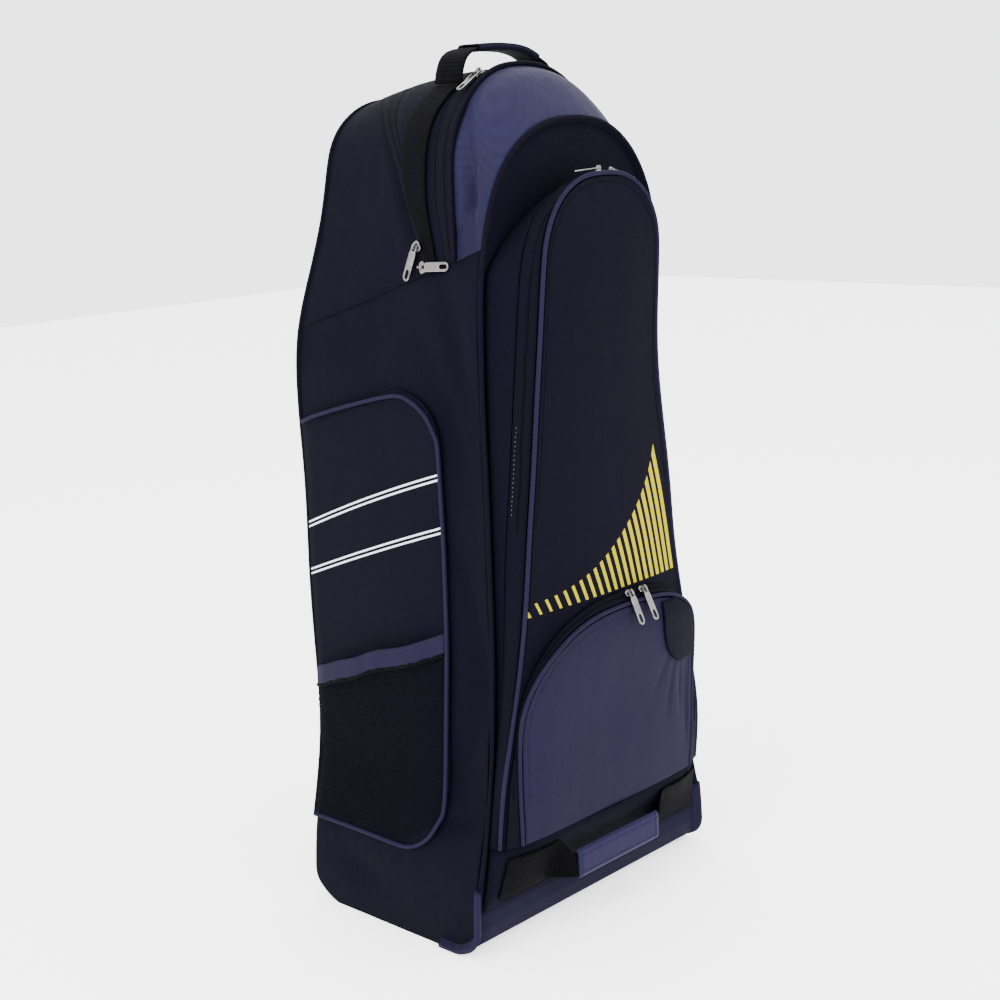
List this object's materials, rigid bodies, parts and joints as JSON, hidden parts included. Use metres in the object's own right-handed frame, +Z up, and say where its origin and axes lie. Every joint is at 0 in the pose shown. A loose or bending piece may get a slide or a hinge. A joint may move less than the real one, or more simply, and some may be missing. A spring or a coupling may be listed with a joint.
{
  "type": "cricket kit bag",
  "caption": "Tall upright kit bag with a domed top, full-length front pocket, lower front pocket, mesh side pockets, grab handles on top and at the foot, and hinged zip pulls.",
  "frame": {"origin": "on the floor under the middle of the body", "axes": "+Z up, the front pockets face -Y, +X to the right as seen from the front"},
  "size_m": [0.3942, 0.3398, 0.9328],
  "materials": {
    "black_cloth": "matt woven nylon",
    "grey_cloth": "fine twill with a soft sheen",
    "webbing": "ribbed webbing",
    "net": "open mesh",
    "nickel": "polished nickel"
  },
  "bodies": {
    "bag": {"front_panel": "black_cloth", "back_panel": "black_cloth", "base_boot": "grey_cloth", "crown_panel": "grey_cloth", "main_zip_tape": "black_cloth", "top_strip": "black_cloth", "rear_zip_tape": "black_cloth", "back_hood": "black_cloth", "piping_front_edge": "black_cloth", "piping_back_edge": "black_cloth", "piping_crown": "black_cloth", "front_pocket_gusset": "black_cloth", "front_pocket_zip": "black_cloth", "piping_front_pocket": "grey_cloth", "front_pocket_face": "black_cloth", "lower_pocket_zip": "black_cloth", "piping_lower_pocket": "grey_cloth", "lower_pocket_face": "grey_cloth", "lower_pocket_patch": "black_cloth", "base_band": "black_cloth", "bottom_handle_webbing": "webbing", "bottom_handle_wrap": "grey_cloth", "top_webbing_left": "webbing", "top_webbing_right": "webbing", "top_handle_webbing": "webbing", "top_handle_wrap": "grey_cloth", "side_panel_left": "black_cloth", "side_pocket_panel_left": "black_cloth", "side_mesh_left": "net", "mesh_binding_left": "grey_cloth", "piping_side_pocket_left": "grey_cloth", "binding_base_left": "grey_cloth", "side_panel_right": "black_cloth", "side_pocket_panel_right": "black_cloth", "side_mesh_right": "net", "mesh_binding_right": "grey_cloth", "piping_side_pocket_right": "grey_cloth", "binding_base_right": "grey_cloth", "zip_slider_top": "nickel", "zip_slider_front_left": "nickel", "zip_slider_front_right": "nickel", "zip_slider_lower_left": "nickel", "zip_slider_lower_right": "nickel", "zip_slider_rear": "nickel", "zip_slider_side": "nickel"},
    "pull_top": {"zip_pull_top": "nickel"},
    "pull_front_left": {"zip_pull_front_left": "nickel"},
    "pull_front_right": {"zip_pull_front_right": "nickel"},
    "pull_lower_left": {"zip_pull_lower_left": "nickel"},
    "pull_lower_right": {"zip_pull_lower_right": "nickel"},
    "pull_rear": {"zip_pull_rear": "nickel"},
    "pull_side": {"zip_pull_side": "nickel"}
  },
  "joints": [
    {"name": "pull_top_hinge", "type": "hinge", "parent": "bag", "child": "pull_top", "pos_m": [-0.05074, -0.05281, 0.90387], "axis": [-0.0168, 0.9996, -0.0225], "range_deg": [0, 140]},
    {"name": "pull_front_left_hinge", "type": "hinge", "parent": "bag", "child": "pull_front_left", "pos_m": [0.00671, -0.15832, 0.80231], "axis": [0.0089, 0.9966, -0.0815], "range_deg": [0, 105]},
    {"name": "pull_front_right_hinge", "type": "hinge", "parent": "bag", "child": "pull_front_right", "pos_m": [0.02694, -0.1581, 0.79953], "axis": [0.0311, -0.9905, 0.1341], "range_deg": [0, 105]},
    {"name": "pull_lower_left_hinge", "type": "hinge", "parent": "bag", "child": "pull_lower_left", "pos_m": [0.0203, -0.17464, 0.35719], "axis": [-0.9999, -0.0116, 0.0116], "range_deg": [0, 140]},
    {"name": "pull_lower_right_hinge", "type": "hinge", "parent": "bag", "child": "pull_lower_right", "pos_m": [0.04387, -0.17406, 0.35657], "axis": [-0.9981, -0.043, 0.043], "range_deg": [0, 140]},
    {"name": "pull_rear_hinge", "type": "hinge", "parent": "bag", "child": "pull_rear", "pos_m": [-0.13887, -0.03719, 0.73373], "axis": [0.07, 0.9512, 0.3004], "range_deg": [0, 140]},
    {"name": "pull_side_hinge", "type": "hinge", "parent": "bag", "child": "pull_side", "pos_m": [-0.14409, -0.04886, 0.71328], "axis": [-0.1414, -0.0494, -0.9887], "range_deg": [0, 140]}
  ]
}
